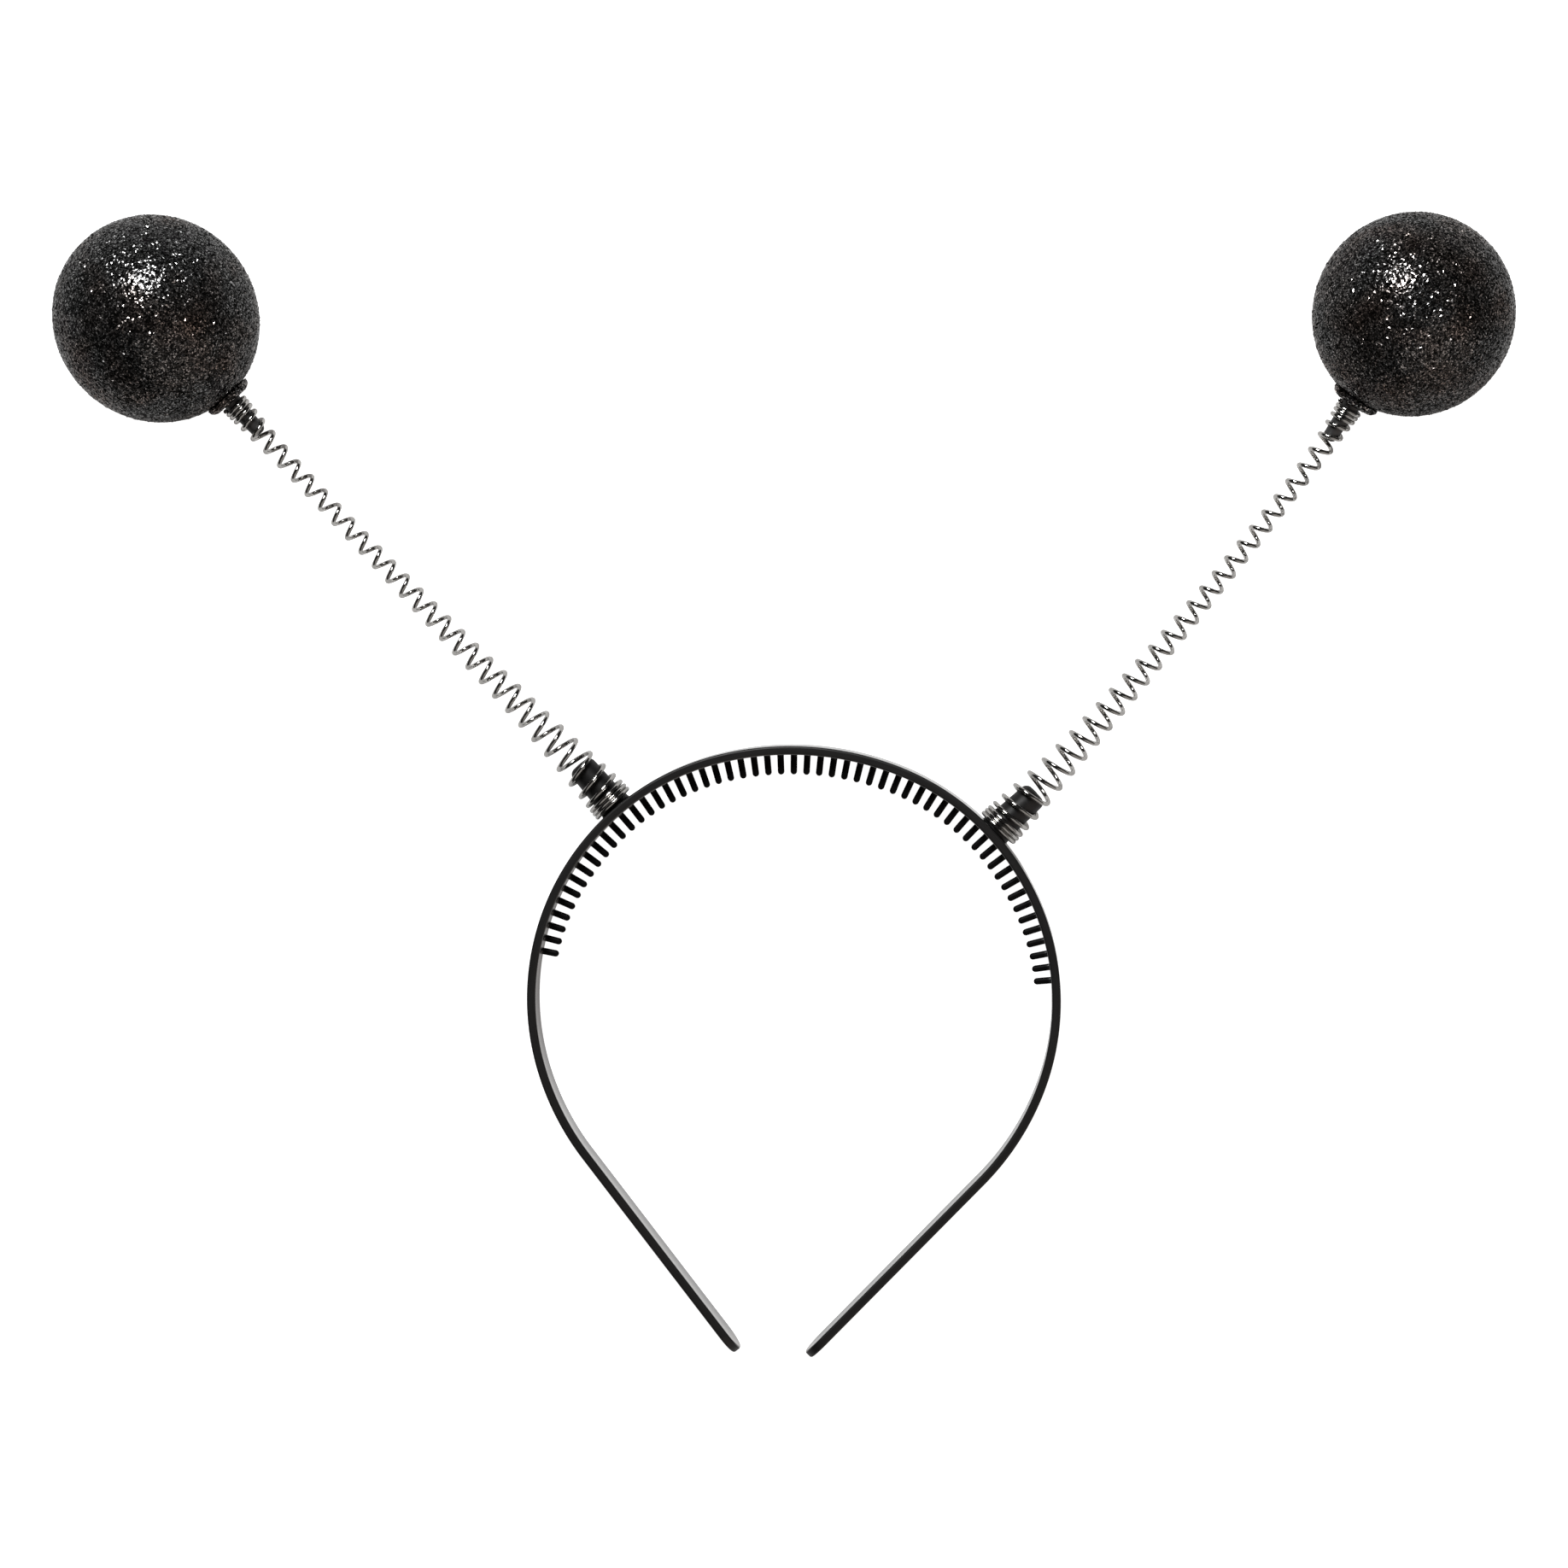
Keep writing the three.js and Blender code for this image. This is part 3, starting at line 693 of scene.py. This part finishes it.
def scaled(tree, source, scale):
    n = node(tree, "ShaderNodeMapping")
    n.inputs["Scale"].default_value = scale
    tree.links.new(source, n.inputs["Vector"])
    return n.outputs["Vector"]


def noise(tree, vector, scale, detail=3.0, rough=0.5):
    n = node(tree, "ShaderNodeTexNoise")
    n.inputs["Scale"].default_value = scale
    n.inputs["Detail"].default_value = detail
    n.inputs["Roughness"].default_value = rough
    tree.links.new(vector, n.inputs["Vector"])
    return n.outputs["Fac"]


def bump(tree, shader, height, strength, distance):
    n = node(tree, "ShaderNodeBump")
    n.inputs["Strength"].default_value = strength
    n.inputs["Distance"].default_value = distance
    tree.links.new(height, n.inputs["Height"])
    tree.links.new(n.outputs["Normal"], shader.inputs["Normal"])


def moulded_plastic(name):
    """Satin black moulding, glossier inside: faint flow streaks along the strip and a very fine skin."""
    material, tree, shader = new_material(name)
    strip = node(tree, "ShaderNodeAttribute", attribute_name="strip").outputs["Vector"]
    space = node(tree, "ShaderNodeTexCoord").outputs["Object"]
    flow = noise(tree, scaled(tree, strip, (0.06, 0.9, 0.9)), 1.0, 4.0, 0.6)
    cloud = noise(tree, space, 55.0, 3.0)
    depth = node(tree, "ShaderNodeSeparateXYZ")
    tree.links.new(strip, depth.inputs["Vector"])
    black = ramp(tree, cloud, [(0.3, (0.0035, 0.0035, 0.0037)), (0.7, (0.006, 0.0058, 0.0059))])
    # The teeth are painted darker than the band (base 0.002 against 0.0035 to 0.006): painted shade on the thin teeth,
    # not a darker plastic.
    teeth = node(tree, "ShaderNodeMix", data_type="RGBA")
    tree.links.new(spread(tree, depth.outputs["Z"], 0.0, 1.0, -1.2, -1.8), teeth.inputs["Factor"])
    tree.links.new(black, teeth.inputs["A"])
    teeth.inputs["B"].default_value = (0.002, 0.002, 0.0022, 1.0)
    tree.links.new(teeth.outputs["Result"], shader.inputs["Base Color"])
    tree.links.new(spread(tree, depth.outputs["Z"], 0.26, 0.05, -1.2, -1.8), shader.inputs["Specular IOR Level"])
    # 1 on the band's two broad faces, 0 on its edges, teeth and pegs
    through = spread(tree, depth.outputs["Z"], 0.0, 1.0, -2.0, 2.0)
    stops = [(-1.35, 0.0), (-1.05, 1.0), (-0.82, 1.0), (-0.76, 0.0), (0.93, 0.0), (0.99, 1.0), (1.01, 1.0), (1.15, 0.0)]
    broad = ramp(tree, through, [((t + 2) / 4, value) for t, value in stops])
    polish = node(tree, "ShaderNodeMath", operation="MULTIPLY")
    tree.links.new(spread(tree, flow, 0.4, 0.5, 0.3, 0.7), polish.inputs[0])
    tree.links.new(spread(tree, broad, 1.0, 0.22), polish.inputs[1])
    tree.links.new(polish.outputs["Value"], shader.inputs["Roughness"])
    tree.links.new(spread(tree, broad, 0.0, 0.8), shader.inputs["Coat Weight"])
    shader.inputs["Coat Roughness"].default_value = 0.06
    skin = noise(tree, space, 1400.0, 2.0)
    bump(tree, shader, skin, 0.02, 0.00004)
    shader.inputs["IOR"].default_value = 1.5
    return material


def plug_plastic(name):
    """Black plastic of the plug: a little duller than the band."""
    material, tree, shader = new_material(name)
    space = node(tree, "ShaderNodeTexCoord").outputs["Object"]
    cloud = noise(tree, space, 160.0, 3.0)
    tree.links.new(ramp(tree, cloud, [(0.3, (0.01, 0.01, 0.0105)), (0.7, (0.018, 0.0175, 0.0175))]), shader.inputs["Base Color"])
    tree.links.new(spread(tree, cloud, 0.4, 0.52, 0.3, 0.7), shader.inputs["Roughness"])
    bump(tree, shader, noise(tree, space, 1800.0, 2.0), 0.08, 0.00004)
    return material


def spring_wire(name):
    """Bright drawn wire: fine lines along it, and a slight warm cloudiness."""
    material, tree, shader = new_material(name)
    wire = node(tree, "ShaderNodeAttribute", attribute_name="wire").outputs["Vector"]
    lines = noise(tree, scaled(tree, wire, (0.12, 5.0, 5.0)), 1.0, 3.0, 0.6)
    cloud = noise(tree, scaled(tree, wire, (0.05, 0.4, 0.4)), 1.0, 2.0)
    tree.links.new(ramp(tree, cloud, [(0.3, (0.44, 0.435, 0.42)), (0.7, (0.54, 0.53, 0.515))]), shader.inputs["Base Color"])
    tree.links.new(spread(tree, lines, 0.05, 0.15, 0.3, 0.7), shader.inputs["Roughness"])
    bump(tree, shader, lines, 0.12, 0.00002)
    shader.inputs["Metallic"].default_value = 1.0
    return material


def glitter(name, painted_light_gain=1.0):
    """Black glitter: every flake has its own darkness and gloss, with a few bright ones and
    a faint warm cast that comes and goes. A gain above 1 paints every flake lighter, a lit copy
    of the same glitter: painted light."""
    material, tree, shader = new_material(name)
    flake = node(tree, "ShaderNodeAttribute", attribute_name="flake").outputs["Fac"]
    gloss = node(tree, "ShaderNodeAttribute", attribute_name="flake_gloss").outputs["Fac"]
    space = node(tree, "ShaderNodeTexCoord").outputs["Object"]
    stops = [(0.0, 0.003), (0.4, 0.009), (0.65, 0.024), (0.82, 0.065), (0.93, 0.15), (1.0, 0.32)]
    dark = ramp(tree, flake, [(place, grey * painted_light_gain) for place, grey in stops])
    warm = ramp(tree, noise(tree, space, 70.0, 2.0), [(0.45, (1.0, 1.0, 1.0)), (0.7, (1.0, 0.78, 0.68))])
    mix = node(tree, "ShaderNodeMix", data_type="RGBA", blend_type="MULTIPLY")
    mix.inputs["Factor"].default_value = 1.0
    tree.links.new(dark, mix.inputs["A"])
    tree.links.new(warm, mix.inputs["B"])
    tree.links.new(mix.outputs["Result"], shader.inputs["Base Color"])
    tree.links.new(spread(tree, gloss, 0.03, 0.1), shader.inputs["Roughness"])
    shader.inputs["Metallic"].default_value = 0.88
    tree.links.new(ramp(tree, flake, [(0.0, 0.05), (0.4, 0.35), (0.7, 0.95), (1.0, 1.0)]), shader.inputs["Specular Tint"])
    return material


# ------------------------------------------------------------------ the pieces
band_finish = moulded_plastic("black_moulded_plastic")
plug_finish = plug_plastic("black_plug_plastic")
wire_finish = spring_wire("bright_spring_wire")
glitter_finish = glitter("black_glitter_flakes")
# The flange's glitter is painted 1.8 times lighter than the ball's: painted light, making up for the shade that the
# ball casts on the flange.
flange_finish_painted_lighter = glitter("black_glitter_flange", 1.8)


def dress(obj, node_name, slot_name, *finishes):
    for finish in finishes:
        obj.data.materials.append(finish)
    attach(obj, "root")
    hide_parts(node_name)


dress(make_headband(), "headband", "black_plastic", band_finish)
for number, (which, row) in enumerate(ANTENNAE.items()):
    random = np.random.default_rng(4107 + number)
    dress(make_spring(f"spring_{which}_coil", row), f"spring_{which}", "spring_wire", wire_finish)
    plug = make_plug(f"ball_plug_{which}_turned", row, random)
    dress(plug, f"ball_plug_{which}", "plug_plastic", plug_finish, flange_finish_painted_lighter)
    coat = np.array([0 if p.use_smooth else 1 for p in plug.data.polygons], np.int32)
    plug.data.polygons.foreach_set("material_index", coat)
    ball = make_ball(f"ball_{which}_coated", row, random)
    dress(ball, f"ball_{which}", "black_glitter", glitter_finish)

# ------------------------------------------------------------------ camera
camera_data = bpy.data.cameras.new("camera")
camera_data.sensor_fit = "HORIZONTAL"
camera_data.sensor_width = 36.0
camera_data.lens = 120.0
camera_data.clip_start, camera_data.clip_end = 0.05, 50.0
camera = bpy.data.objects.new("camera", camera_data)
bpy.context.scene.collection.objects.link(camera)
eye, target = Vector((54.59, 55.09, 1180.0)) * MM, Vector((6.31, -2.85, 11.0)) * MM
back = (eye - target).normalized()
right = Vector((-0.0601, 0.9982, 0.0)).cross(back).normalized()
camera.matrix_world = Matrix.Translation(eye) @ Matrix((right, back.cross(right), back)).transposed().to_4x4()
bpy.context.scene.camera = camera

# ------------------------------------------------------------------ floor and light
floor_data = bpy.data.meshes.new("floor")
size = 6.0
floor_data.from_pydata([(-size, -size, 0), (size, -size, 0), (size, size, 0), (-size, size, 0)], [], [(0, 1, 2, 3)])
floor = bpy.data.objects.new("floor", floor_data)
floor.location.z = -0.0002
bpy.context.scene.collection.objects.link(floor)
paper, paper_tree, paper_shader = new_material("pale_floor")
paper_shader.inputs["Base Color"].default_value = (0.5, 0.5, 0.5, 1.0)
paper_shader.inputs["Roughness"].default_value = 0.9
paper_shader.inputs["Specular IOR Level"].default_value = 0.1
paper_shader.inputs["Emission Color"].default_value = (1.0, 1.0, 1.0, 1.0)
glow = spread(paper_tree, node(paper_tree, "ShaderNodeLightPath").outputs["Is Camera Ray"], 0.2, 1.0)
paper_tree.links.new(glow, paper_shader.inputs["Emission Strength"])
floor_data.materials.append(paper)

# A dark room with a pale backdrop behind it, a big soft box behind the crown and a weak warm one in front.
world = bpy.data.worlds.new("studio")
bpy.context.scene.world = world
world.use_nodes = True
sky = world.node_tree
backdrop, room = node(sky, "ShaderNodeBackground"), sky.nodes["Background"]
backdrop.inputs["Color"].default_value = (0.85, 0.85, 0.85, 1.0)
room.inputs["Color"].default_value = (0.02, 0.02, 0.02, 1.0)
seen = node(sky, "ShaderNodeMixShader")
sky.links.new(node(sky, "ShaderNodeLightPath").outputs["Is Camera Ray"], seen.inputs["Fac"])
sky.links.new(room.outputs["Background"], seen.inputs[1])
sky.links.new(backdrop.outputs["Background"], seen.inputs[2])
sky.links.new(seen.outputs["Shader"], sky.nodes["World Output"].inputs["Surface"])


def softbox(name, place, wide, high, power, colour=(1.0, 1.0, 1.0), aim=(0.0, 0.03, 0.02)):
    data = bpy.data.lights.new(name, "AREA")
    data.color = colour
    data.shape, data.size, data.size_y, data.energy = "RECTANGLE", wide, high, power
    light = bpy.data.objects.new(name, data)
    bpy.context.scene.collection.objects.link(light)
    light.location = place
    light.rotation_euler = (Vector(aim) - Vector(place)).to_track_quat("-Z", "Y").to_euler()
    return light


# The glitter has more of the light behind the crown, and the bright wire is flagged off from most
# of the light in front, so that it keeps its dark lines.
behind, front = ((-0.32, 0.95, 1.12), 0.52), ((0.7, -0.9, 0.9), 2.2)  # place, width
white, warm, pale = (1.0, 1.0, 1.0), (1.0, 0.88, 0.81), (1.0, 0.94, 0.89)
for name, starts, (place, wide), power, tint in (
    ("key", ("headband_", "ball_plug_", "spring_", "floor"), behind, 27.0, white),
    ("glitter_key", ("ball_left_", "ball_right_"), behind, 64.0, white),
    ("fill", ("headband_", "ball_", "floor"), front, 12.7, warm),
    ("wire_fill", ("spring_",), front, 6.0, pale),
):
    light = softbox(name, place, wide, wide, power, tint)
    lit = bpy.data.collections.new(f"lit_by_{name}")
    for piece in bpy.context.scene.objects:
        if piece.type == "MESH" and piece.name.startswith(starts) and piece.users_collection:
            lit.objects.link(piece)
    light.light_linking.receiver_collection = lit

bpy.context.scene.view_settings.view_transform = "Standard"
bpy.context.scene.view_settings.look = "None"
